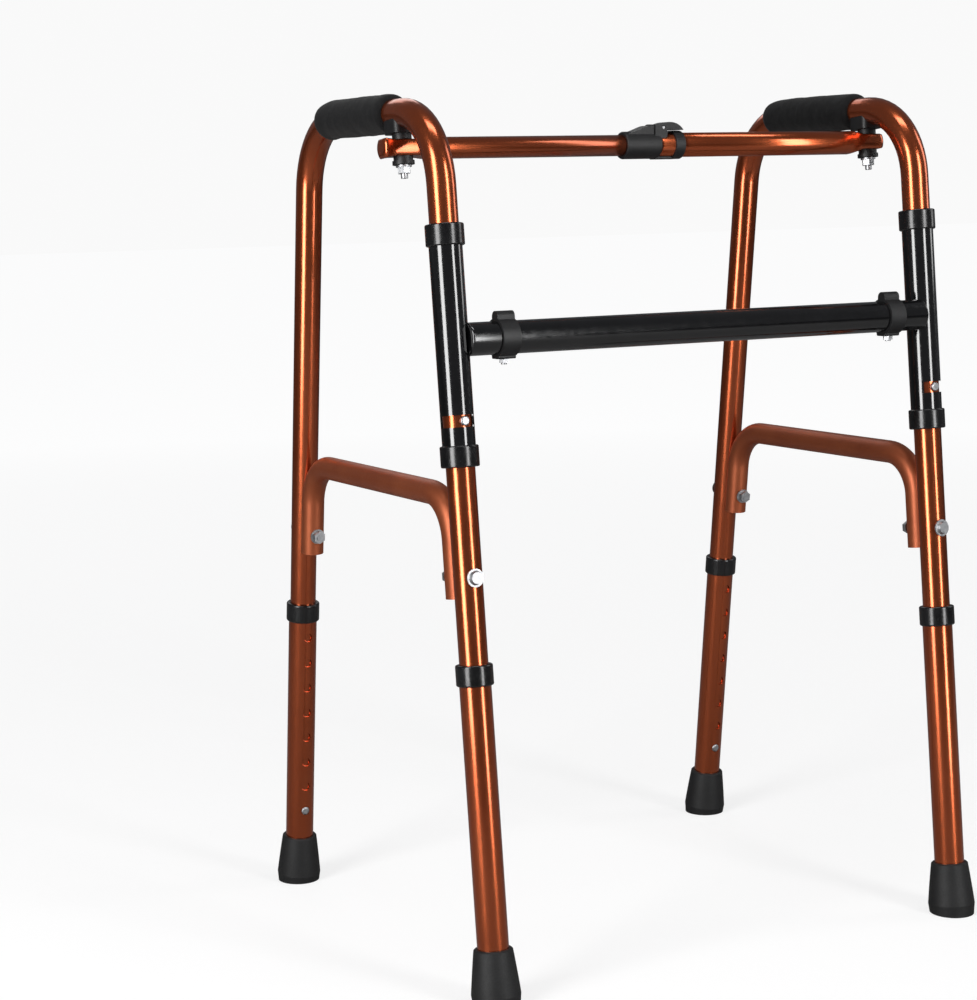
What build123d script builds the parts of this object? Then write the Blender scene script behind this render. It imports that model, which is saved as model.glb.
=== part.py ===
"""Folding walking frame: two bent-tube side frames hinged to a front crossbar.

Millimetres. +Z is up, -Y is the front, and the origin is on the floor under the middle.
Each side frame turns in a sleeve on the crossbar, about its own front leg. A telescopic
bar joins the two handles, and each lower leg slides on its upper leg past a snap button.
"""
import os
from math import cos, radians, sin, tan

from build123d import *

# Driving dimensions
HINGE_SPACING = 504.0
HANDLE_HEIGHT = 765.0
HANDLE_HALF = 128.6
LEAN = 6.16
BEND_RADIUS = 70.0
UPPER_R = 12.7
UPPER_BORE_R = 11.45
LOWER_R = 14.0
LOWER_BORE_R = 13.0
UPPER_BOTTOM = 58.0
RUNNING_GAP = 0.05
FREE_GAP = 0.3

# Lower legs
LOWER_BOTTOM = 9.0
LOWER_TOP = 292.0
COLLAR_BOTTOM = 278.0
COLLAR_TOP = 296.5
COLLAR_R = 16.4
BUTTON_HEIGHT = 79.0
HOLE_PITCH = 26.4
HOLE_COUNT = 8
HOLE_R = 4.4
BUTTON_R = 4.2
BUTTON_REACH = 14.8
TIP_HEIGHT = 49.0
TIP_TOP_R = 17.4
TIP_MAX_R = 22.0

# Hinge sleeves and crossbar
SLEEVE_BOTTOM = 470.0
SLEEVE_TOP = 665.0
SLEEVE_R = 14.5
SLEEVE_BORE_R = 13.1
SLEEVE_COLLAR_R = 16.8
SLEEVE_COLLAR_HEIGHT = 18.5
SLOT_HEIGHT = 504.0
SLOT_WIDTH = 10.4
SLOT_AFTER = 118.0
SLOT_BEFORE = 45.0
CROSSBAR_HEIGHT = 573.0
CROSSBAR_R = 14.3
CROSSBAR_WALL = 1.6
CROSSBAR_OFFSET = 8.0
CROSSBAR_HALF = 243.0
CROSSBAR_BORE_HALF = 224.0
SADDLE_X = 206.0
SADDLE_WIDTH = 17.0

# Side braces
BRACE_HEIGHT = 438.0
BRACE_R = 11.0
BRACE_WALL = 1.6
BRACE_BEND = 42.0
BRACE_BOTTOM = 350.0
BRACE_BOLT_HEIGHT = 371.0
BRACE_OFFSET = 20.2

# Telescopic bar between the handles
BAR_HEIGHT = 735.0
PIVOT_Y = -64.0
INNER_R = 9.5
OUTER_R = 11.1
OUTER_BORE_R = 9.6
INNER_END = 120.0
MOUTH_X = 8.5
LEFT_OVERHANG = 21.5
RIGHT_OVERHANG = 12.8
FLAT_HALF = 7.2
PIVOT_BOLT_R = 3.2
CLIP_LEFT = -28.0
CLIP_RIGHT = 36.0

# Hand grips
GRIP_R = 17.2
GRIP_FRONT = -49.0
GRIP_REAR = 66.0
GRIP_TURN = 17.0

SIDES = {"left": -1, "right": 1}
ENDS = {"front": -1, "rear": 1}
SLOPE = tan(radians(LEAN))
AXIS = Vector(0, sin(radians(LEAN)), cos(radians(LEAN)))

os.makedirs("parts", exist_ok=True)


def save(builder, name):
    """Label a finished piece and write it to its own file."""
    builder.part.label = name
    export_step(builder.part, f"parts/{name}.step")


def leg_y(end, height):
    """Where a leg's axis is at a height."""
    return end * (HANDLE_HALF + (HANDLE_HEIGHT - height) * SLOPE)


def leg_plane(side, end, height, turn=0.0):
    """A plane across a leg: Z runs up the leg and X points into the side frame."""
    up = Vector(0, -end * sin(radians(LEAN)), cos(radians(LEAN)))
    inward = Vector(0, -end * cos(radians(LEAN)), -sin(radians(LEAN)))
    origin = (side * HINGE_SPACING / 2, leg_y(end, height), height)
    return Plane(origin, x_dir=inward.rotate(Axis((0, 0, 0), up), turn), z_dir=up)


def across(plane):
    """The plane that looks along another plane's X, from the same origin."""
    return Plane(plane.origin, x_dir=plane.z_dir, z_dir=plane.x_dir)


def along_leg(height):
    """Length along a leaning leg that spans this height."""
    return height / cos(radians(LEAN))


def frame_route(side, low):
    """The bent route of one side frame, from the front leg to the rear leg."""
    x = side * HINGE_SPACING / 2
    corners = [(x, leg_y(-1, low), low), (x, -HANDLE_HALF, HANDLE_HEIGHT)]
    corners += [(x, HANDLE_HALF, HANDLE_HEIGHT), (x, leg_y(1, low), low)]
    return corners


def frame_blank(side):
    """The space that a side frame's tube fills."""
    with BuildPart() as blank:
        with BuildLine() as route:
            FilletPolyline(*frame_route(side, UPPER_BOTTOM), radius=BEND_RADIUS)
        with BuildSketch(leg_plane(side, -1, UPPER_BOTTOM)):
            Circle(UPPER_R + 0.02)
        sweep(path=route.wire())
    return blank.part


def frame_tube(side):
    """Upper legs and handle, one bent tube, with holes for its pins, buttons and bolts."""
    with BuildPart() as tube:
        with BuildLine() as route:
            FilletPolyline(*frame_route(side, UPPER_BOTTOM), radius=BEND_RADIUS)
        with BuildSketch(leg_plane(side, -1, UPPER_BOTTOM)):
            Circle(UPPER_R)
            Circle(UPPER_BORE_R, mode=Mode.SUBTRACT)
        sweep(path=route.wire())
        for end in ENDS.values():
            with BuildSketch(across(leg_plane(side, end, BUTTON_HEIGHT))):
                Circle(HOLE_R)
            extrude(amount=UPPER_R + 2, mode=Mode.SUBTRACT)
            with BuildSketch(across(leg_plane(side, end, BRACE_BOLT_HEIGHT))):
                Circle(3.1)
            extrude(amount=UPPER_R + 2, both=True, mode=Mode.SUBTRACT)
        with BuildSketch(across(leg_plane(side, -1, SLOT_HEIGHT, 180))):
            Circle(BUTTON_R)
        extrude(amount=UPPER_R + 2, mode=Mode.SUBTRACT)
        with BuildSketch(pivot_plane(side, 0)):
            Circle(PIVOT_BOLT_R)
        extrude(amount=HANDLE_HEIGHT - BAR_HEIGHT, mode=Mode.SUBTRACT)
    return tube


def brace(side):
    """Bowed cross tube, with its ends pressed round the legs and bolted to them."""
    x = side * HINGE_SPACING / 2
    reach = BRACE_OFFSET / cos(radians(LEAN))

    def corner(end, height):
        return (x, leg_y(end, height) - end * reach, height)

    with BuildPart() as bar:
        with BuildLine() as route:
            FilletPolyline(
                corner(-1, BRACE_BOTTOM), corner(-1, BRACE_HEIGHT),
                corner(1, BRACE_HEIGHT), corner(1, BRACE_BOTTOM),
                radius=BRACE_BEND,
            )
        start = leg_plane(side, -1, BRACE_BOTTOM)
        with BuildSketch(Plane(corner(-1, BRACE_BOTTOM), x_dir=start.x_dir, z_dir=start.z_dir)):
            Circle(BRACE_R)
        sweep(path=route.wire())
        with BuildLine() as core:
            FilletPolyline(
                corner(-1, BRACE_BOTTOM + 35), corner(-1, BRACE_HEIGHT),
                corner(1, BRACE_HEIGHT), corner(1, BRACE_BOTTOM + 35),
                radius=BRACE_BEND,
            )
        inside = Plane(corner(-1, BRACE_BOTTOM + 35), x_dir=start.x_dir, z_dir=start.z_dir)
        with BuildSketch(inside):
            Circle(BRACE_R - BRACE_WALL)
        sweep(path=core.wire(), mode=Mode.SUBTRACT)
        for end in ENDS.values():
            with BuildSketch(leg_plane(side, end, BRACE_BOTTOM - 20)):
                Circle(UPPER_R + RUNNING_GAP)
            extrude(amount=along_leg(140), mode=Mode.SUBTRACT)
            with BuildSketch(across(leg_plane(side, end, BRACE_BOLT_HEIGHT))):
                Circle(3.1)
            extrude(amount=BRACE_OFFSET + BRACE_R + 2, mode=Mode.SUBTRACT)
    return bar


def brace_bolts(side):
    """Two button-head bolts, each with a washer, from the outer face of each leg."""
    with BuildPart() as bolts:
        for end in ENDS.values():
            face = across(leg_plane(side, end, BRACE_BOLT_HEIGHT, 180))
            with BuildSketch(face.offset(UPPER_R + 0.05)):
                Circle(8.0)
            extrude(amount=1.3)
            with BuildSketch(face.offset(UPPER_R + 1.2)):
                Circle(6.4)
            extrude(amount=3.4, taper=22)
            with BuildSketch(face.offset(UPPER_R + 1.2)):
                Circle(3.0)
            extrude(amount=-(UPPER_R + BRACE_OFFSET + BRACE_R + 8.5))
    return bolts


def brace_nuts(side):
    """Hexagon nuts on the inner faces of the brace ends."""
    with BuildPart() as nuts:
        for end in ENDS.values():
            face = across(leg_plane(side, end, BRACE_BOLT_HEIGHT))
            with BuildSketch(face.offset(BRACE_OFFSET + BRACE_R)):
                Circle(7.2)
                Circle(3.02, mode=Mode.SUBTRACT)
            extrude(amount=1.4)
            with BuildSketch(face.offset(BRACE_OFFSET + BRACE_R + 1.4)):
                RegularPolygon(6.3, 6)
                Circle(3.02, mode=Mode.SUBTRACT)
            extrude(amount=5.0)
    return nuts


def grip(side):
    """Foam sleeve over the handle and the start of the rear bend."""
    x = side * HINGE_SPACING / 2
    straight = HANDLE_HALF - BEND_RADIUS * tan(radians((90 - LEAN) / 2))
    with BuildPart() as foam:
        with BuildLine() as route:
            run = Line((x, GRIP_FRONT, HANDLE_HEIGHT), (x, straight, HANDLE_HEIGHT))
            turned = (
                x,
                straight + BEND_RADIUS * sin(radians(GRIP_TURN)),
                HANDLE_HEIGHT - BEND_RADIUS * (1 - cos(radians(GRIP_TURN))),
            )
            TangentArc(run @ 1, turned, tangent=run % 1)
        with BuildSketch(Plane((x, GRIP_FRONT, HANDLE_HEIGHT), x_dir=(1, 0, 0), z_dir=(0, 1, 0))):
            Circle(GRIP_R)
            Circle(UPPER_R + 0.02, mode=Mode.SUBTRACT)
        sweep(path=route.wire())
    return foam


def pivot_plane(side, rise):
    """A plane across a bar pivot, this far up the pivot from the bar's axis."""
    origin = Vector(side * HINGE_SPACING / 2, PIVOT_Y, BAR_HEIGHT) + AXIS * rise
    return Plane(origin, x_dir=(1, 0, 0), z_dir=AXIS)


def bar_saddle(side):
    """Plastic spool between the handle and the bar."""
    handle = frame_blank(side)
    with BuildPart() as spool:
        with BuildSketch(pivot_plane(side, FLAT_HALF + FREE_GAP)):
            Circle(8.6)
        extrude(amount=6)
        with BuildSketch(pivot_plane(side, FLAT_HALF + FREE_GAP + 5)):
            RectangleRounded(24, 25, 5)
        extrude(amount=12)
        add(handle, mode=Mode.SUBTRACT)
        with BuildSketch(pivot_plane(side, 0)):
            Circle(PIVOT_BOLT_R + 0.02)
        extrude(amount=40, mode=Mode.SUBTRACT)
    return spool


def pivot_bolt(side):
    """Bolt down through the handle, the spool, the bar and the washer below it."""
    with BuildPart() as bolt:
        with BuildSketch(pivot_plane(side, -26)):
            Circle(PIVOT_BOLT_R - 0.05)
        extrude(amount=26 + HANDLE_HEIGHT - BAR_HEIGHT - UPPER_BORE_R + 6)
        with BuildSketch(pivot_plane(side, HANDLE_HEIGHT - BAR_HEIGHT - UPPER_BORE_R + 2)):
            Circle(5.2)
        extrude(amount=4)
    return bolt


def pivot_nut(side):
    """Nut and plain washer under the bar."""
    with BuildPart() as nut:
        with BuildSketch(pivot_plane(side, -FLAT_HALF - 9.0)):
            Circle(7.0)
            Circle(PIVOT_BOLT_R, mode=Mode.SUBTRACT)
        extrude(amount=1.4)
        with BuildSketch(pivot_plane(side, -FLAT_HALF - 14.6)):
            RegularPolygon(6.0, 6)
            Circle(PIVOT_BOLT_R, mode=Mode.SUBTRACT)
        extrude(amount=5.6)
    return nut


def bar_washer(side):
    """Plastic cup washer in the dent under the bar."""
    with BuildPart() as cup:
        with BuildSketch(pivot_plane(side, -FLAT_HALF)):
            Circle(8.6)
        extrude(amount=-4.0)
        with BuildSketch(pivot_plane(side, -FLAT_HALF - 3.6)):
            Circle(9.8)
        extrude(amount=-3.4)
        with BuildSketch(pivot_plane(side, -30)):
            Circle(PIVOT_BOLT_R + 0.1)
        extrude(amount=30, mode=Mode.SUBTRACT)
    return cup


def stop_pin(side):
    """Pin in the front leg that rides in the sleeve's slot and stops the fold."""
    with BuildPart() as pin:
        face = across(leg_plane(side, -1, SLOT_HEIGHT, 180))
        with BuildSketch(face.offset(7.0)):
            Circle(BUTTON_R - 0.02)
        extrude(amount=SLEEVE_R + 0.9 - 7.0)
        fillet(pin.edges().filter_by(GeomType.CIRCLE).sort_by(Axis.Y)[0], 1.4)
        with BuildSketch(face.offset(6.0)):
            Circle(5.4)
        extrude(amount=1.4)
    return pin


def button(side, end):
    """Snap button: domed head out through both tubes, with a flange inside."""
    face = across(leg_plane(side, end, BUTTON_HEIGHT))
    with BuildPart() as knob:
        with BuildSketch(face.offset(8.2)):
            Circle(5.2)
        extrude(amount=1.2)
        with BuildSketch(face.offset(8.2)):
            Circle(BUTTON_R)
        extrude(amount=BUTTON_REACH - 8.2)
        fillet(knob.faces().sort_by(lambda f: (f.center() - face.origin).length)[-1].edges(), 1.6)
    return knob


def button_springs(side):
    """Bent strips inside the upper legs, behind the snap buttons."""
    with BuildPart() as strips:
        for end in ENDS.values():
            plane = leg_plane(side, end, BUTTON_HEIGHT)
            edge_on = Plane(plane.origin, x_dir=plane.x_dir, z_dir=plane.y_dir)
            with BuildSketch(edge_on):
                with BuildLine():
                    Polyline((2.4, 8), (2.2, -6), (-1.0, -38), (-4.5, -42), (-8.0, -38), (-9.6, 8))
                trace(line_width=0.8)
            extrude(amount=2.6, both=True)
    return strips


def lower_tube(side, end):
    """Lower leg tube, outside the upper leg, with its row of height holes."""
    with BuildPart() as tube:
        with BuildSketch(leg_plane(side, end, LOWER_BOTTOM)):
            Circle(LOWER_R)
            Circle(LOWER_BORE_R, mode=Mode.SUBTRACT)
        extrude(amount=along_leg(LOWER_TOP - LOWER_BOTTOM))
        for step in range(HOLE_COUNT):
            rise = step * HOLE_PITCH
            face = across(leg_plane(side, end, BUTTON_HEIGHT))
            with BuildSketch(face):
                with Locations((rise, 0)):
                    Circle(HOLE_R)
            extrude(amount=LOWER_R + 2, mode=Mode.SUBTRACT)
    return tube


def leg_collar(side, end):
    """Plastic collar on the lower tube's top, which runs on the upper leg."""
    with BuildPart() as collar:
        with BuildSketch(leg_plane(side, end, COLLAR_BOTTOM)):
            Circle(COLLAR_R)
        extrude(amount=along_leg(COLLAR_TOP - COLLAR_BOTTOM))
        ring = collar.edges().filter_by(GeomType.CIRCLE)
        fillet(ring, 1.6)
        with BuildSketch(leg_plane(side, end, COLLAR_BOTTOM - 1)):
            Circle(LOWER_R + 0.02)
        extrude(amount=along_leg(LOWER_TOP - COLLAR_BOTTOM) + 1.05, mode=Mode.SUBTRACT)
        with BuildSketch(leg_plane(side, end, COLLAR_BOTTOM - 1)):
            Circle(UPPER_R + RUNNING_GAP)
        extrude(amount=along_leg(COLLAR_TOP - COLLAR_BOTTOM) + 2, mode=Mode.SUBTRACT)
    return collar


def tip(side, end):
    """Rubber ferrule, flared towards the floor and flat underneath."""
    plane = leg_plane(side, end, 0)
    edge_on = Plane(plane.origin, x_dir=plane.x_dir, z_dir=-plane.y_dir)
    top = along_leg(TIP_HEIGHT)
    with BuildPart() as ferrule:
        with BuildSketch(edge_on):
            with BuildLine():
                Polyline((0, -6), (TIP_MAX_R - 1.6, -6), (TIP_MAX_R - 0.6, 4), (TIP_MAX_R, 9))
                Spline((TIP_MAX_R, 9), (TIP_MAX_R - 1.6, 24), (TIP_TOP_R + 0.5, top - 5),
                       (TIP_TOP_R, top - 1.2))
                Polyline((TIP_TOP_R, top - 1.2), (TIP_TOP_R - 1.2, top), (LOWER_R + 0.02, top))
                Polyline((LOWER_R + 0.02, top), (LOWER_R + 0.02, along_leg(LOWER_BOTTOM) - 0.02))
                Polyline((LOWER_R + 0.02, along_leg(LOWER_BOTTOM) - 0.02),
                         (0, along_leg(LOWER_BOTTOM) - 0.02), (0, -6))
            make_face()
        revolve(axis=Axis(plane.origin, plane.z_dir))
        split(bisect_by=Plane.XY, keep=Keep.TOP)
    return ferrule


def sleeve(side):
    """Hinge sleeve on the front leg, with a slot part of the way round for the stop pin."""
    with BuildPart() as shell:
        with BuildSketch(leg_plane(side, -1, SLEEVE_BOTTOM)):
            Circle(SLEEVE_R)
            Circle(SLEEVE_BORE_R, mode=Mode.SUBTRACT)
        extrude(amount=along_leg(SLEEVE_TOP - SLEEVE_BOTTOM))
        low = leg_plane(side, -1, SLOT_HEIGHT).offset(-SLOT_WIDTH / 2)
        # the pin sits at 180 degrees and turns outwards as its frame folds in
        first = 180 - SLOT_AFTER if side < 0 else 180 - SLOT_BEFORE
        turn = (SLOT_AFTER + SLOT_BEFORE) / 4
        angles = [radians(first + turn * step) for step in range(5)]
        with BuildSketch(low):
            with BuildLine():
                Polyline((0, 0), *[(60 * cos(a), 60 * sin(a)) for a in angles], close=True)
            make_face()
        extrude(amount=SLOT_WIDTH, mode=Mode.SUBTRACT)
    return shell


def sleeve_collars(side):
    """Plastic bearing collars at both ends of a hinge sleeve."""
    with BuildPart() as collars:
        for low, high in ((SLEEVE_BOTTOM - 5, SLEEVE_BOTTOM - 5 + SLEEVE_COLLAR_HEIGHT),
                          (SLEEVE_TOP + 5 - SLEEVE_COLLAR_HEIGHT, SLEEVE_TOP + 5)):
            with BuildSketch(leg_plane(side, -1, low)):
                Circle(SLEEVE_COLLAR_R)
            extrude(amount=along_leg(high - low))
        fillet(collars.edges().filter_by(GeomType.CIRCLE), 1.4)
        with BuildSketch(leg_plane(side, -1, SLEEVE_BOTTOM).offset(-0.05)):
            Circle(SLEEVE_R + 0.02)
        extrude(amount=along_leg(SLEEVE_TOP - SLEEVE_BOTTOM) + 0.1, mode=Mode.SUBTRACT)
        with BuildSketch(leg_plane(side, -1, SLEEVE_BOTTOM - 10)):
            Circle(UPPER_R + RUNNING_GAP)
        extrude(amount=along_leg(SLEEVE_TOP - SLEEVE_BOTTOM + 20), mode=Mode.SUBTRACT)
    return collars


CROSSBAR_Y = leg_y(-1, CROSSBAR_HEIGHT) - CROSSBAR_OFFSET


def crossbar_plane(x):
    """A plane across the crossbar."""
    return Plane((x, CROSSBAR_Y, CROSSBAR_HEIGHT), x_dir=(0, 1, 0), z_dir=(1, 0, 0))


with BuildPart() as crossbar:
    with BuildSketch(crossbar_plane(-CROSSBAR_HALF)):
        Circle(CROSSBAR_R)
    extrude(amount=2 * CROSSBAR_HALF)
    fillet(crossbar.edges().filter_by(GeomType.CIRCLE), 2.0)
    with BuildSketch(crossbar_plane(-CROSSBAR_BORE_HALF)):
        Circle(CROSSBAR_R - CROSSBAR_WALL)
    extrude(amount=2 * CROSSBAR_BORE_HALF, mode=Mode.SUBTRACT)
    for side in SIDES.values():
        with BuildSketch(leg_plane(side, -1, CROSSBAR_HEIGHT - 40)):
            Circle(SLEEVE_R + 0.02)
        extrude(amount=90, mode=Mode.SUBTRACT)
        with BuildSketch(Plane((side * SADDLE_X, CROSSBAR_Y, CROSSBAR_HEIGHT))):
            Circle(2.6)
        extrude(amount=CROSSBAR_R + 2, both=True, mode=Mode.SUBTRACT)
save(crossbar, "crossbar")

with BuildPart() as crossbar_saddles:
    for side in SIDES.values():
        with BuildSketch(crossbar_plane(side * SADDLE_X - SADDLE_WIDTH / 2)):
            Circle(CROSSBAR_R + 2.2)
            with Locations((0, CROSSBAR_R + 1.6)):
                SlotOverall(14, 10, rotation=90)
            with Locations((0, -CROSSBAR_R - 1.2)):
                RectangleRounded(12, 5, 1.5)
            Circle(CROSSBAR_R + 0.02, mode=Mode.SUBTRACT)
            with Locations((CROSSBAR_R + 1, -5)):
                Rectangle(CROSSBAR_R, 15, mode=Mode.SUBTRACT)
        extrude(amount=SADDLE_WIDTH)
        with BuildSketch(Plane((side * SADDLE_X, CROSSBAR_Y, CROSSBAR_HEIGHT - 30))):
            Circle(2.62)
        extrude(amount=30 + CROSSBAR_R + 4, mode=Mode.SUBTRACT)
save(crossbar_saddles, "crossbar_saddles")

with BuildPart() as crossbar_bolts:
    for side in SIDES.values():
        foot = Plane((side * SADDLE_X, CROSSBAR_Y, CROSSBAR_HEIGHT - CROSSBAR_R - 8.6))
        with BuildSketch(foot):
            Circle(2.55)
        extrude(amount=2 * CROSSBAR_R + 12.4)
        with BuildSketch(foot.offset(1.4)):
            RegularPolygon(4.6, 6)
        extrude(amount=3.4)
save(crossbar_bolts, "crossbar_bolts")

for name, side in SIDES.items():
    save(frame_tube(side), f"{name}_frame_tube")
    save(brace(side), f"{name}_brace")
    save(brace_bolts(side), f"{name}_brace_bolts")
    save(brace_nuts(side), f"{name}_brace_nuts")
    save(grip(side), f"{name}_grip")
    save(bar_saddle(side), f"{name}_bar_spool")
    save(pivot_bolt(side), f"{name}_pivot_bolt")
    save(pivot_nut(side), f"{name}_pivot_nut")
    save(bar_washer(side), f"{name}_bar_washer")
    save(stop_pin(side), f"{name}_stop_pin")
    save(button_springs(side), f"{name}_button_springs")
    save(sleeve(side), f"{name}_hinge_sleeve")
    save(sleeve_collars(side), f"{name}_sleeve_collars")
    for place, end in ENDS.items():
        save(button(side, end), f"{place}_{name}_button")
        save(lower_tube(side, end), f"{place}_{name}_lower_leg")
        save(leg_collar(side, end), f"{place}_{name}_leg_collar")
        save(tip(side, end), f"{place}_{name}_tip")


def bar_plane(x):
    """A plane across the telescopic bar."""
    return Plane((x, PIVOT_Y, BAR_HEIGHT), x_dir=(0, 1, 0), z_dir=(1, 0, 0))


def pinch(side):
    """What is cut from the bar at a pivot: a dent above, a dent below, and the bolt hole."""
    with BuildPart() as cutter:
        with BuildSketch(pivot_plane(side, FLAT_HALF)):
            Circle(10.6)
        extrude(amount=12)
        with BuildSketch(pivot_plane(side, -FLAT_HALF)):
            Circle(10.6)
        extrude(amount=-12)
        with BuildSketch(pivot_plane(side, -20)):
            Circle(PIVOT_BOLT_R)
        extrude(amount=40)
    return cutter.part


left_pinch = pinch(-1)
right_pinch = pinch(1)
LEVER_PIN = (MOUTH_X + 3.5, BAR_HEIGHT + 15.5)
half = HINGE_SPACING / 2
with BuildPart() as bar_inner_tube:
    with BuildSketch(bar_plane(-half - LEFT_OVERHANG)):
        Circle(INNER_R)
    extrude(amount=half + LEFT_OVERHANG + INNER_END)
    fillet(bar_inner_tube.faces().sort_by(Axis.X)[0].edges(), 2.0)
    with BuildSketch(bar_plane(-half + 18)):
        Circle(INNER_R - 1.3)
    extrude(amount=half - 18 + INNER_END + 1, mode=Mode.SUBTRACT)
    add(left_pinch, mode=Mode.SUBTRACT)
save(bar_inner_tube, "bar_inner_tube")

with BuildPart() as bar_outer_tube:
    with BuildSketch(bar_plane(MOUTH_X)):
        Circle(OUTER_R)
    extrude(amount=half + RIGHT_OVERHANG - MOUTH_X)
    fillet(bar_outer_tube.faces().sort_by(Axis.X)[-1].edges(), 6.0)
    with BuildSketch(bar_plane(MOUTH_X - 1)):
        Circle(OUTER_BORE_R)
    extrude(amount=half - 18 - MOUTH_X + 1, mode=Mode.SUBTRACT)
    add(right_pinch, mode=Mode.SUBTRACT)
save(bar_outer_tube, "bar_outer_tube")

with BuildPart() as clip_body:
    with BuildSketch(bar_plane(CLIP_LEFT)):
        Circle(12.4)
    extrude(amount=MOUTH_X - CLIP_LEFT)
    fillet(clip_body.faces().sort_by(Axis.X)[0].edges(), 1.6)
    with BuildSketch(Plane((0, PIVOT_Y, 0), x_dir=(1, 0, 0), z_dir=(0, -1, 0))):
        with BuildLine():
            hump = [(CLIP_LEFT + 3, BAR_HEIGHT + 11), (-14, BAR_HEIGHT + 13.5), (-2, BAR_HEIGHT + 17.5)]
            Spline(*hump, tangents=((1, 0.12), (1, 0.25)))
            Polyline(hump[-1], (MOUTH_X - 1, BAR_HEIGHT + 17.5), (MOUTH_X - 1, BAR_HEIGHT),
                     (CLIP_LEFT + 3, BAR_HEIGHT), hump[0])
        make_face()
    extrude(amount=7.6, both=True)
    for near in (7.4, -9.4):
        with BuildSketch(Plane((0, PIVOT_Y + near + 2, 0), x_dir=(1, 0, 0), z_dir=(0, -1, 0))):
            with Locations((LEVER_PIN[0] - 2.5, LEVER_PIN[1] - 3)):
                RectangleRounded(13, 13, 3)
        extrude(amount=2)
    with BuildSketch(Plane((LEVER_PIN[0], PIVOT_Y, LEVER_PIN[1]), x_dir=(1, 0, 0), z_dir=(0, 1, 0))):
        Circle(1.57)
    extrude(amount=20, both=True, mode=Mode.SUBTRACT)
    with BuildSketch(bar_plane(24)):
        Circle(OUTER_R + 1.8)
    extrude(amount=10)
    with BuildSketch(bar_plane(MOUTH_X - 3)):
        with Locations((0, -OUTER_R - 0.4)):
            RectangleRounded(9, 3, 1)
    extrude(amount=22)
    with BuildSketch(bar_plane(CLIP_LEFT - 1)):
        Circle(INNER_R + RUNNING_GAP)
    extrude(amount=MOUTH_X - CLIP_LEFT + 2, mode=Mode.SUBTRACT)
    with BuildSketch(bar_plane(MOUTH_X)):
        Circle(OUTER_R + 0.02)
    extrude(amount=40, mode=Mode.SUBTRACT)
save(clip_body, "clip_body")

with BuildPart() as clip_lever:
    with BuildSketch(Plane((0, PIVOT_Y, 0), x_dir=(1, 0, 0), z_dir=(0, -1, 0))):
        with BuildLine():
            Polyline((MOUTH_X + 1.2, BAR_HEIGHT + 12.3), (MOUTH_X + 1.2, BAR_HEIGHT + 18.5))
            Spline((MOUTH_X + 1.2, BAR_HEIGHT + 18.5), (MOUTH_X + 9, BAR_HEIGHT + 20.5),
                   (CLIP_RIGHT - 9, BAR_HEIGHT + 19.5), (CLIP_RIGHT - 1, BAR_HEIGHT + 13.6))
            Polyline((CLIP_RIGHT - 1, BAR_HEIGHT + 13.6), (CLIP_RIGHT - 1, BAR_HEIGHT + 13.3),
                     (MOUTH_X + 9, BAR_HEIGHT + 13.3), (MOUTH_X + 1.2, BAR_HEIGHT + 12.3))
        make_face()
    extrude(amount=7.0, both=True)
    with BuildSketch(Plane((LEVER_PIN[0], PIVOT_Y, LEVER_PIN[1]), x_dir=(1, 0, 0), z_dir=(0, 1, 0))):
        Circle(1.6)
    extrude(amount=20, both=True, mode=Mode.SUBTRACT)
save(clip_lever, "clip_lever")

with BuildPart() as clip_pin:
    with BuildSketch(Plane((LEVER_PIN[0], PIVOT_Y, LEVER_PIN[1]), x_dir=(1, 0, 0), z_dir=(0, 1, 0))):
        Circle(1.55)
    extrude(amount=9.4, both=True)
    fillet(clip_pin.edges().filter_by(GeomType.CIRCLE), 0.5)
save(clip_pin, "clip_pin")
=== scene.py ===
"""Folding walking frame: finishes, foam grips and pinched bar tubes round the CAD frame."""
import math

import bmesh
import bpy
from mathutils import Matrix, Vector, noise


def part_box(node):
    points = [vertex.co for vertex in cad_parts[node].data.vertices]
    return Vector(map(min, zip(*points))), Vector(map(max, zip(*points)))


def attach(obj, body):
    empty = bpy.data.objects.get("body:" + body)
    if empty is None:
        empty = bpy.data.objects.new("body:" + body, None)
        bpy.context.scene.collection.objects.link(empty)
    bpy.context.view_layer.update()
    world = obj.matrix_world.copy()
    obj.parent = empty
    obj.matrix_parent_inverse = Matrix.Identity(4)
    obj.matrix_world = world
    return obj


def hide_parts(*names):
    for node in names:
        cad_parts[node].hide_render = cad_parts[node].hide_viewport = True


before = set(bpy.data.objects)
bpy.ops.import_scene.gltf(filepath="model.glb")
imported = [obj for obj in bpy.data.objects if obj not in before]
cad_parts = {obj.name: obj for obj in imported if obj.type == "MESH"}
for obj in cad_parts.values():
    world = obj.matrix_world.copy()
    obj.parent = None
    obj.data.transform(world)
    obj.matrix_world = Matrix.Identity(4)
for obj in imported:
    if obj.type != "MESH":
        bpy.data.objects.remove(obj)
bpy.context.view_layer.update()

# Sizes that the frame's boxes don't give directly, in metres
UPPER_R = 0.0127
HANDLE_HALF = 0.1286
BEND_RADIUS = 0.070
LEAN = math.radians(6.16)
PIVOT_Y = -0.064
BAR_Z = 0.735
INNER_R = 0.0095
OUTER_R = 0.0111
PINCH_HALF = 0.0072
PINCH_REACH = 0.0098
PINCH_FADE = 0.016
PINCH_SPAN = 0.034
INNER_END_ROUNDING = 0.0035
OUTER_END_ROUNDING = 0.0060
GRIP_R = 0.0172
GRIP_LENGTH = 0.1355
GRIP_ROUNDING = 0.0065
GRIP_LIP = 0.0006
GRIP_SWELL = 0.0004
GRIP_LUMP = 0.00045
LUMP_R = 0.017
SKIN_GAP = 0.0001

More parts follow.
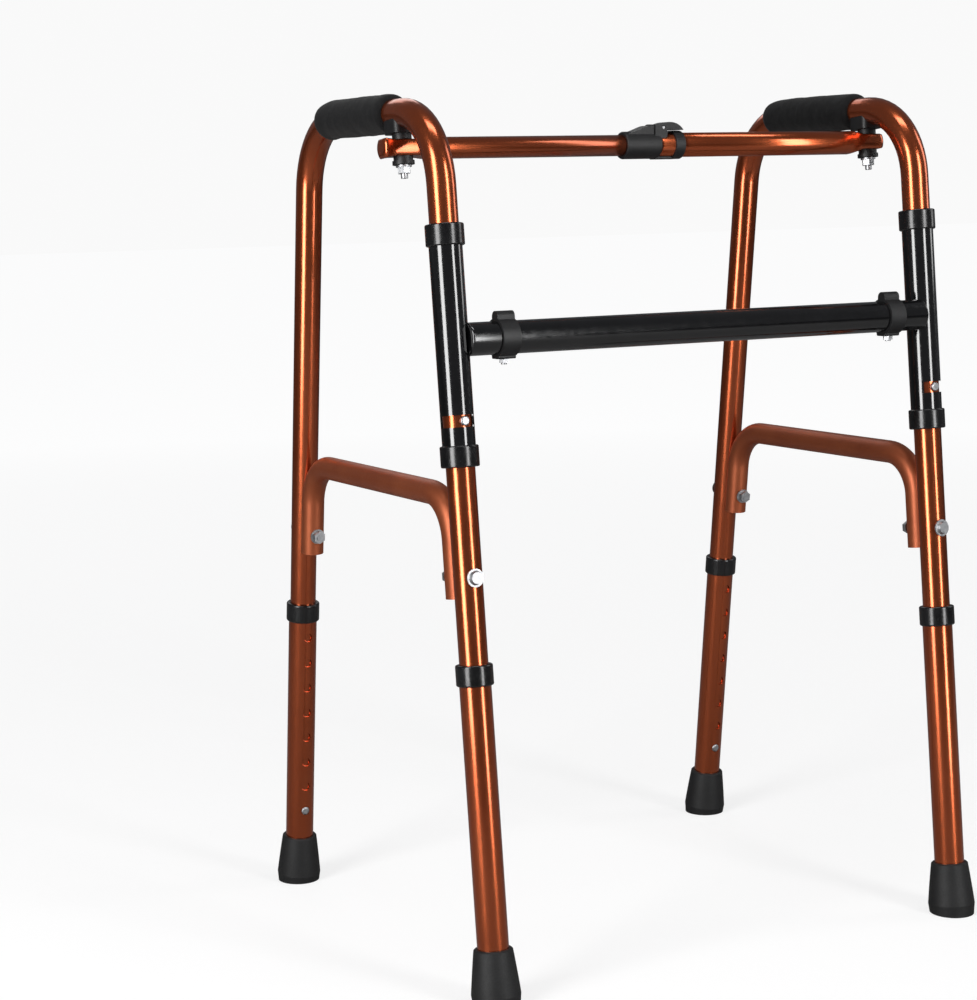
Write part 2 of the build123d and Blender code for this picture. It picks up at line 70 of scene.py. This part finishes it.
# Shares and counts
PINCH_WIDENING = 0.10
PINCH_FLATTENING = 0.9
ROUNDED_END = 0.55
LUMPS_PER_METRE = 75
GRIP_STEPS = 90
GRIP_SIDES = 72
TUBE_SIDES = 48
END_STEPS = 14
PINCH_STEPS = 40

# Camera, in metres and degrees
CAMERA_SPOT = (-1.1438, -1.8351, 0.6930)
CAMERA_AZIMUTH = -26.147
CAMERA_ELEVATION = 10.218
CAMERA_ROLL = -1.328
CAMERA_LENS = 80.35
CAMERA_SHIFT = (0.0985, 0.100)

# Soft boxes: azimuth, elevation, distance, width, height, power
LIGHT_TARGET = Vector((0, 0, 0.42))
LIGHTS = {
    "left_strip": (-70, 6, 2.4, 0.85, 3.2, 95),
    "front_strip": (16, 6, 2.6, 0.60, 3.2, 66),
    "right_fill": (75, 25, 2.8, 0.7, 1.8, 12),
    "back_fill": (170, 35, 3.0, 1.6, 1.2, 8),
    "overhead": (-20, 80, 2.6, 1.4, 0.5, 14),
}

HINGE_X = (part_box("right_frame_tube")[0].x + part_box("right_frame_tube")[1].x) / 2
HANDLE_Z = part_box("left_frame_tube")[1].z - UPPER_R


# ---------------------------------------------------------------- materials

class Finish:
    """A Principled material with its node tree at hand."""

    def __init__(self, name):
        self.mat = bpy.data.materials.new(name)
        self.mat.use_nodes = True
        self.nodes = self.mat.node_tree.nodes
        self.links = self.mat.node_tree.links
        self.shader = self.nodes["Principled BSDF"]
        self.coords = self.nodes.new("ShaderNodeTexCoord")

    def set(self, **values):
        for key, value in values.items():
            self.shader.inputs[key.replace("_", " ")].default_value = value
        return self

    def noise(self, scale, stretch=(1, 1, 1), detail=4.0, rough=0.55):
        mapping = self.nodes.new("ShaderNodeMapping")
        mapping.inputs["Scale"].default_value = stretch
        self.links.new(self.coords.outputs["Object"], mapping.inputs["Vector"])
        tex = self.nodes.new("ShaderNodeTexNoise")
        tex.inputs["Scale"].default_value = scale
        tex.inputs["Detail"].default_value = detail
        tex.inputs["Roughness"].default_value = rough
        self.links.new(mapping.outputs["Vector"], tex.inputs["Vector"])
        return tex.outputs["Fac"]

    def cells(self, scale, stretch=(1, 1, 1)):
        mapping = self.nodes.new("ShaderNodeMapping")
        mapping.inputs["Scale"].default_value = stretch
        self.links.new(self.coords.outputs["Object"], mapping.inputs["Vector"])
        tex = self.nodes.new("ShaderNodeTexVoronoi")
        tex.inputs["Scale"].default_value = scale
        self.links.new(mapping.outputs["Vector"], tex.inputs["Vector"])
        return tex.outputs["Distance"]

    def spread(self, source, low, high):
        """Map a 0.3 to 0.7 signal on to a range of numbers."""
        node = self.nodes.new("ShaderNodeMapRange")
        node.inputs["From Min"].default_value = 0.3
        node.inputs["From Max"].default_value = 0.7
        node.inputs["To Min"].default_value = low
        node.inputs["To Max"].default_value = high
        self.links.new(source, node.inputs["Value"])
        return node.outputs["Result"]

    def tint(self, source, dark, light):
        ramp = self.nodes.new("ShaderNodeValToRGB")
        ramp.color_ramp.elements[0].position = 0.32
        ramp.color_ramp.elements[1].position = 0.68
        ramp.color_ramp.elements[0].color = (*dark, 1)
        ramp.color_ramp.elements[1].color = (*light, 1)
        self.links.new(source, ramp.inputs["Fac"])
        self.links.new(ramp.outputs["Color"], self.shader.inputs["Base Color"])
        return self

    def rough(self, source, low, high):
        self.links.new(self.spread(source, low, high), self.shader.inputs["Roughness"])
        return self

    def bump(self, source, depth, strength=0.5):
        node = self.nodes.new("ShaderNodeBump")
        node.inputs["Distance"].default_value = depth
        node.inputs["Strength"].default_value = strength
        self.links.new(source, node.inputs["Height"])
        before = self.shader.inputs["Normal"]
        if before.is_linked:
            self.links.new(before.links[0].from_socket, node.inputs["Normal"])
        self.links.new(node.outputs["Normal"], before)
        return self


def anodised_tube(name, along):
    """Copper-orange anodised aluminium with faint drawing lines along the tube."""
    f = Finish(name).set(Metallic=0.92, Coat_Weight=0.35, Coat_Roughness=0.10, Coat_IOR=1.5)
    lines = f.noise(1.0, tuple(6.0 if axis == along else 900.0 for axis in "xyz"), detail=3.0)
    cloud = f.noise(14.0, detail=2.0)
    f.tint(cloud, (0.41, 0.083, 0.026), (0.47, 0.100, 0.032))
    return f.rough(lines, 0.17, 0.25).bump(lines, 0.00002, 0.15).mat


def brace_satin():
    """The braces' flatter, slightly rough orange-brown coat."""
    f = Finish("brace_satin").set(Metallic=0.75, Coat_Weight=0.10, Coat_Roughness=0.35)
    f.tint(f.noise(26.0, detail=3.0), (0.30, 0.072, 0.027), (0.36, 0.092, 0.034))
    grain = f.noise(900.0, detail=3.0)
    return f.rough(grain, 0.40, 0.52).bump(grain, 0.00006, 0.35).mat


def gloss_black(name):
    """Thick black powder coat with a little orange peel."""
    f = Finish(name).set(Coat_Weight=0.6, Coat_Roughness=0.05, Specular_IOR_Level=0.6)
    f.tint(f.noise(40.0), (0.0015, 0.0015, 0.0017), (0.0032, 0.0032, 0.0035))
    peel = f.noise(260.0, detail=1.5)
    return f.rough(peel, 0.10, 0.17).bump(peel, 0.00005, 0.25).mat


def collar_black():
    """Polished injection-moulded black plastic."""
    f = Finish("collar_black").set(Specular_IOR_Level=0.55)
    f.tint(f.noise(60.0), (0.0022, 0.0022, 0.0024), (0.0050, 0.0050, 0.0054))
    marks = f.noise(420.0, (1, 1, 0.4), detail=3.0)
    return f.rough(marks, 0.18, 0.28).bump(marks, 0.00001, 0.15).mat


def fitting_black():
    """Spark-textured black plastic of the spools, saddles and clip."""
    f = Finish("fitting_black").set(Specular_IOR_Level=0.45)
    f.tint(f.noise(80.0), (0.0025, 0.0025, 0.0028), (0.0060, 0.0060, 0.0065))
    grain = f.noise(1500.0, detail=2.0)
    return f.rough(grain, 0.42, 0.58).bump(grain, 0.00008, 0.4).mat


def foam_black():
    """Closed-cell foam: matt, with fine open pores and a soft sheen."""
    f = Finish("foam_black").set(Sheen_Weight=0.05, Sheen_Roughness=0.5, Specular_IOR_Level=0.25)
    pores = f.cells(1100.0)
    lumps = f.noise(150.0, detail=5.0)
    f.tint(f.noise(420.0, detail=4.0), (0.0015, 0.0015, 0.0017), (0.0045, 0.0045, 0.0048))
    return f.rough(lumps, 0.82, 0.97).bump(lumps, 0.0005, 0.5).bump(pores, 0.0002, 0.6).mat


def rubber_black():
    """Moulded rubber with a dusty, slightly worn face."""
    f = Finish("rubber_black").set(Specular_IOR_Level=0.4)
    f.tint(f.noise(55.0, detail=6.0), (0.0028, 0.0028, 0.0030), (0.0065, 0.0065, 0.0068))
    grain = f.noise(800.0, detail=3.0)
    return f.rough(grain, 0.50, 0.68).bump(grain, 0.0001, 0.4).mat


def zinc():
    """Bright zinc plate with fine tool marks."""
    f = Finish("zinc").set(Metallic=1.0)
    f.tint(f.noise(300.0), (0.32, 0.33, 0.34), (0.44, 0.44, 0.45))
    marks = f.noise(900.0, (1, 1, 3), detail=3.0)
    return f.rough(marks, 0.34, 0.50).bump(marks, 0.00004, 0.4).mat


LEG_TUBE = anodised_tube("anodised_leg", "z")
HANDLE_TUBE = anodised_tube("anodised_frame", "z")
BAR_TUBE = anodised_tube("anodised_bar", "x")
BRACE = brace_satin()
BLACK_PAINT = gloss_black("black_gloss")
COLLAR = collar_black()
FITTING = fitting_black()
FOAM = foam_black()
RUBBER = rubber_black()
ZINC = zinc()

FINISHES = (
    ("frame_tube", HANDLE_TUBE), ("lower_leg", LEG_TUBE), ("brace_bolts", ZINC),
    ("brace_nuts", ZINC), ("_brace", BRACE), ("crossbar_bolts", ZINC),
    ("crossbar_saddles", FITTING), ("crossbar", BLACK_PAINT),
    ("hinge_sleeve", BLACK_PAINT), ("collar", COLLAR), ("grip", FOAM), ("spool", FITTING),
    ("washer", FITTING), ("pivot", ZINC), ("pin", ZINC), ("springs", ZINC), ("button", ZINC),
    ("tip", RUBBER), ("clip", FITTING), ("bar_", BAR_TUBE),
)


def dress_frame():
    """Give each CAD node the finish of the first word that its name holds."""
    for name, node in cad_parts.items():
        finish = next(mat for word, mat in FINISHES if word in name)
        node.data.materials.clear()
        node.data.materials.append(finish)


# ---------------------------------------------------------------- new pieces

def add_mesh(name, rings, material, closed=True):
    """A skin over rings of points, with its ends filled."""
    bm = bmesh.new()
    rows = [[bm.verts.new(p) for p in ring] for ring in rings]
    count = len(rows[0])
    for low, high in zip(rows, rows[1:]):
        for i in range(count):
            j = (i + 1) % count
            bm.faces.new((low[i], low[j], high[j], high[i]))
    if closed:
        bm.faces.new(rows[0][::-1])
        bm.faces.new(rows[-1])
    bmesh.ops.recalc_face_normals(bm, faces=bm.faces)
    mesh = bpy.data.meshes.new(name)
    bm.to_mesh(mesh)
    bm.free()
    for face in mesh.polygons:
        face.use_smooth = True
    piece = bpy.data.objects.new(name, mesh)
    bpy.context.scene.collection.objects.link(piece)
    mesh.materials.append(material)
    return piece


def smooth(t):
    t = min(max(t, 0.0), 1.0)
    return t * t * (3 - 2 * t)


def grip_route(front, rear):
    """Centre and direction along the handle: straight, then round the rear bend."""
    straight = HANDLE_HALF
    straight -= BEND_RADIUS * math.tan((math.pi / 2 - LEAN) / 2)
    length = rear - front
    for k in range(GRIP_STEPS + 1):
        y = front + length * k / GRIP_STEPS
        if y <= straight:
            yield y - front, Vector((0, y, HANDLE_Z)), Vector((0, 1, 0))
        else:
            turn = (y - straight) / BEND_RADIUS
            spot = (0, straight + BEND_RADIUS * math.sin(turn),
                    HANDLE_Z - BEND_RADIUS * (1 - math.cos(turn)))
            yield y - front, Vector(spot), Vector((0, math.cos(turn), -math.sin(turn)))


def foam_grip(side, sign):
    """Foam grip: rounded ends, a slight swell, and the soft lumps of pulled-on foam."""
    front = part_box(f"{side}_grip")[0].y
    rear = front + GRIP_LENGTH
    length = rear - front
    seat = UPPER_R + SKIN_GAP
    rings = []
    for s, centre, ahead in grip_route(front, rear):
        near = min(s, length - s)
        edge = min(near / GRIP_ROUNDING, 1.0)
        rounded = math.sqrt(max(1 - (1 - edge) ** 2, 0))
        body = seat + GRIP_LIP + (GRIP_R - seat - GRIP_LIP) * rounded
        swell = GRIP_SWELL * math.sin(math.pi * s / length)
        up = Vector((1, 0, 0)).cross(ahead)
        ring = []
        for i in range(GRIP_SIDES):
            a = 2 * math.pi * i / GRIP_SIDES
            out = Vector((1, 0, 0)) * math.cos(a) + up * math.sin(a)
            spot = Vector((sign * HINGE_X, 0, 0)) + centre
            lump = noise.noise((spot + out * LUMP_R) * LUMPS_PER_METRE) * GRIP_LUMP * edge
            ring.append(spot + out * (body + swell * edge + lump))
        rings.append(ring)
    ends = []
    for ring, step in ((rings[0], -1), (rings[-1], 1)):
        middle = sum(ring, Vector()) / GRIP_SIDES
        ends.append([middle + (p - middle).normalized() * seat for p in ring])
    piece = add_mesh(f"{side}_foam_grip", [ends[0]] + rings + [ends[1]], FOAM, closed=False)
    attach(piece, f"{side}_frame")
    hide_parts(f"{side}_grip")
    return piece


def pinched_tube(name, node, sign, radius, start, end, rounding, body):
    """A bar tube that is pressed flat round its pivot bolt, with a rounded outer end."""
    pivot = sign * HINGE_X
    axis = Vector((0, math.sin(LEAN), math.cos(LEAN)))
    side = axis.cross(Vector((1, 0, 0)))
    cuts = {start, end}
    handle_end = start if abs(start) > abs(end) else end
    inward = -1 if handle_end > 0 else 1
    cuts |= {handle_end + inward * rounding * (1 - math.cos(math.pi / 2 * k / END_STEPS))
             for k in range(END_STEPS + 1)}
    near_pivot = (pivot + PINCH_SPAN * (k / PINCH_STEPS - 1) for k in range(2 * PINCH_STEPS + 1))
    cuts |= {x for x in near_pivot if min(start, end) < x < max(start, end)}
    rings = []
    for x in sorted(cuts):
        squeeze = 1 - smooth((abs(x - pivot) - PINCH_REACH) / PINCH_FADE)
        tall = radius + (PINCH_HALF - SKIN_GAP - radius) * squeeze
        wide = radius * (1 + PINCH_WIDENING * squeeze)
        depth = abs(x - handle_end)
        if depth < rounding:
            shrink = math.sqrt(max(1 - (1 - depth / rounding) ** 2, 0.0))
            tall *= ROUNDED_END + (1 - ROUNDED_END) * shrink
            wide *= ROUNDED_END + (1 - ROUNDED_END) * shrink
        middle = Vector((x, PIVOT_Y, BAR_Z))
        ring = []
        flat = 1 + PINCH_FLATTENING * squeeze
        for i in range(TUBE_SIDES):
            a = 2 * math.pi * i / TUBE_SIDES
            c, s = math.cos(a), math.sin(a)
            up = max(-1, min(1, s * flat))
            ring.append(middle + side * (wide * c) + axis * (tall * up))
        rings.append(ring)
    piece = add_mesh(name, rings, BAR_TUBE)
    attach(piece, body)
    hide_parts(node)
    return piece


# ---------------------------------------------------------------- stage

def area_light(name, azimuth, elevation, distance, width, height, power):
    """A soft box that looks at the middle of the walking frame."""
    a, e = math.radians(azimuth), math.radians(elevation)
    back = Vector((math.sin(a) * math.cos(e), -math.cos(a) * math.cos(e), math.sin(e)))
    data = bpy.data.lights.new(name, "AREA")
    data.shape = "RECTANGLE"
    data.size, data.size_y = width, height
    data.energy = power
    lamp = bpy.data.objects.new(name, data)
    lamp.location = LIGHT_TARGET + back * distance
    lamp.rotation_mode = "QUATERNION"
    lamp.rotation_quaternion = (-back).to_track_quat("-Z", "Y")
    bpy.context.scene.collection.objects.link(lamp)


def make_floor():
    bpy.ops.mesh.primitive_plane_add(size=60, location=(0, 0, -0.0005))
    floor = bpy.context.object
    floor.name = "floor"
    f = Finish("floor_white").set(Roughness=0.9, Specular_IOR_Level=0.1)
    f.shader.inputs["Base Color"].default_value = (0.26, 0.26, 0.26, 1)
    f.shader.inputs["Emission Color"].default_value = (1, 1, 1, 1)
    # the glow rises away from the feet, and only the camera sees it
    reach = f.nodes.new("ShaderNodeVectorMath")
    reach.operation = "LENGTH"
    f.links.new(f.coords.outputs["Object"], reach.inputs[0])
    glow = f.nodes.new("ShaderNodeMapRange")
    for key, value in (("From Min", 0.5), ("From Max", 4.5), ("To Min", 0.74), ("To Max", 0.93)):
        glow.inputs[key].default_value = value
    path = f.nodes.new("ShaderNodeLightPath")
    seen = f.nodes.new("ShaderNodeMath")
    seen.operation = "MULTIPLY"
    f.links.new(reach.outputs["Value"], glow.inputs["Value"])
    f.links.new(glow.outputs["Result"], seen.inputs[0])
    f.links.new(path.outputs["Is Camera Ray"], seen.inputs[1])
    f.links.new(seen.outputs["Value"], f.shader.inputs["Emission Strength"])
    floor.data.materials.append(f.mat)


def make_world():
    """White to the camera, a softer grey to the metal."""
    world = bpy.data.worlds.new("studio")
    bpy.context.scene.world = world
    world.use_nodes = True
    nodes, links = world.node_tree.nodes, world.node_tree.links
    seen = nodes["Background"]
    seen.inputs["Color"].default_value = (0.95, 0.95, 0.95, 1)
    seen.inputs["Strength"].default_value = 1.0
    lit = nodes.new("ShaderNodeBackground")
    lit.inputs["Color"].default_value = (0.92, 0.94, 1.0, 1)
    lit.inputs["Strength"].default_value = 0.13
    path = nodes.new("ShaderNodeLightPath")
    mix = nodes.new("ShaderNodeMixShader")
    links.new(path.outputs["Is Camera Ray"], mix.inputs["Fac"])
    links.new(lit.outputs[0], mix.inputs[1])
    links.new(seen.outputs[0], mix.inputs[2])
    links.new(mix.outputs[0], nodes["World Output"].inputs["Surface"])


def make_camera():
    """Front left, a little above the handles, level but for a slight roll."""
    azimuth, elevation, roll = (
        math.radians(v) for v in (CAMERA_AZIMUTH, CAMERA_ELEVATION, CAMERA_ROLL))
    back = Vector((
        math.sin(azimuth) * math.cos(elevation),
        -math.cos(azimuth) * math.cos(elevation),
        math.sin(elevation),
    ))
    right = Vector((math.cos(azimuth), math.sin(azimuth), 0))
    up = back.cross(right)
    turned_right = right * math.cos(roll) + up * math.sin(roll)
    turned_up = up * math.cos(roll) - right * math.sin(roll)
    data = bpy.data.cameras.new("camera")
    data.sensor_width = 36.0
    data.lens = CAMERA_LENS
    data.shift_x, data.shift_y = CAMERA_SHIFT
    camera = bpy.data.objects.new("camera", data)
    turn = Matrix((turned_right, turned_up, back)).transposed()
    camera.matrix_world = Matrix.Translation(CAMERA_SPOT) @ turn.to_4x4()
    bpy.context.scene.collection.objects.link(camera)
    bpy.context.scene.camera = camera


dress_frame()
for side, sign in (("left", -1), ("right", 1)):
    foam_grip(side, sign)
inner_low, inner_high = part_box("bar_inner_tube")
outer_low, outer_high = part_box("bar_outer_tube")
pinched_tube("pinched_inner_tube", "bar_inner_tube", -1, INNER_R, inner_low.x, inner_high.x,
             INNER_END_ROUNDING, "left_bar_half")
pinched_tube("pinched_outer_tube", "bar_outer_tube", 1, OUTER_R, outer_low.x, outer_high.x,
             OUTER_END_ROUNDING, "right_bar_half")

make_floor()
make_world()
make_camera()
for name, values in LIGHTS.items():
    area_light(name, *values)

bpy.context.scene.view_settings.view_transform = "Standard"
